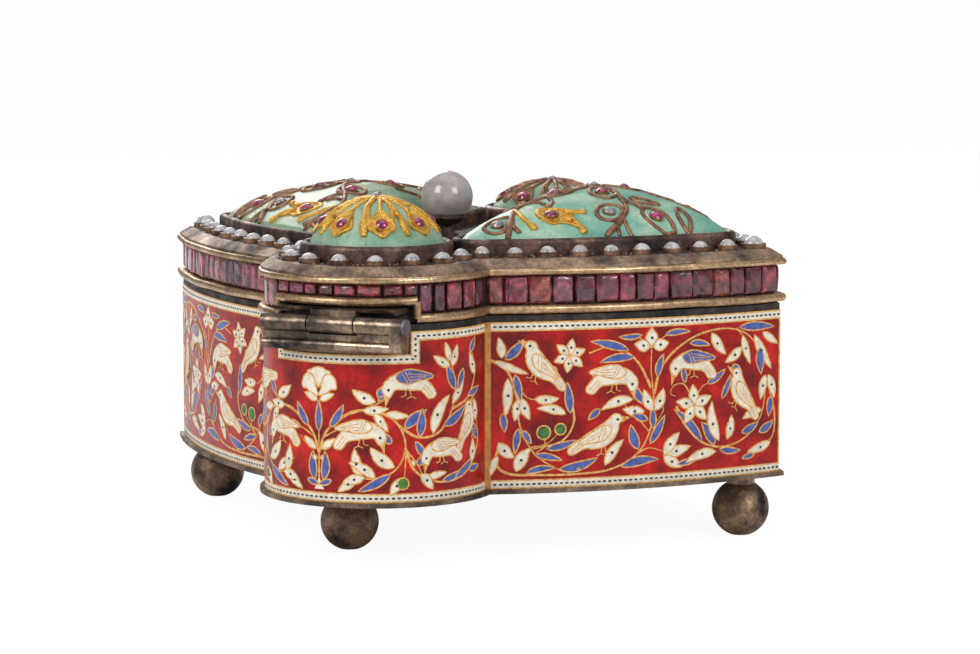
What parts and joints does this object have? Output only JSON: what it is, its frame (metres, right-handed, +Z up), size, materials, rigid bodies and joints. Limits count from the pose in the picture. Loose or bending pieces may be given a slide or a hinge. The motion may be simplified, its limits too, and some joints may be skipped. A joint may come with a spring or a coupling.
{
  "type": "paan box",
  "caption": "Lobed enamelled box on ball feet, with a hinged lid set with garnets and pearls, four turquoise domes and a pearl knob.",
  "frame": {"origin": "on the ground, under the middle of the box", "axes": "+Z up, X along the hinge, the hinge is on the -Y side and the thumb piece on the +Y side"},
  "size_m": [0.1458, 0.1516, 0.076],
  "materials": {
    "base_metal": "aged",
    "body_metal": "aged",
    "strip_metal": "aged",
    "enamel": "gloss",
    "foot_metal": "aged",
    "hinge_metal": "aged",
    "pin_metal": "satin",
    "lid_metal": "aged",
    "bead_gilt": "satin",
    "garnet": "gloss",
    "pearl": "gloss",
    "knob_pearl": "gloss",
    "turquoise": "satin",
    "gold": "gloss",
    "bronze": "aged",
    "ruby": "gloss",
    "diamond": "gloss"
  },
  "bodies": {
    "box": {"base_plate": "base_metal", "body_wall": "body_metal", "mouth_strip": "strip_metal", "enamel_front": "enamel", "enamel_back": "enamel", "enamel_front_right": "enamel", "enamel_front_left": "enamel", "enamel_back_right": "enamel", "enamel_back_left": "enamel", "foot_front": "foot_metal", "foot_back": "foot_metal", "foot_right": "foot_metal", "foot_left": "foot_metal", "hinge_body_leaf": "hinge_metal", "hinge_pin": "pin_metal"},
    "lid": {"lid_wall": "lid_metal", "lower_bead": "bead_gilt", "upper_bead": "bead_gilt", "ledge": "lid_metal", "lid_plate": "lid_metal", "garnets_front": "garnet", "garnets_back": "garnet", "garnets_front_right": "garnet", "garnets_front_left": "garnet", "garnets_back_right": "garnet", "garnets_back_left": "garnet", "pearl_cups": "bronze", "pearls": "pearl", "dome_right": "turquoise", "dome_left": "turquoise", "dome_front": "turquoise", "dome_back": "turquoise", "bezel_right": "bronze", "bezel_left": "bronze", "bezel_front": "bronze", "bezel_back": "bronze", "settings_right": "bronze", "settings_left": "bronze", "settings_front": "gold", "settings_back": "bronze", "rubies": "ruby", "diamonds": "diamond", "knob_stem": "lid_metal", "knob_dish": "lid_metal", "knob_pin": "hinge_metal", "knob_pearl": "knob_pearl", "hinge_lid_leaf": "hinge_metal", "thumb_piece": "bead_gilt"}
  },
  "joints": [
    {"name": "lid_hinge", "type": "hinge", "parent": "box", "child": "lid", "pos_m": [0.002, -0.074, 0.0504], "axis": [1, 0, 0], "range_deg": [0, 100]}
  ]
}
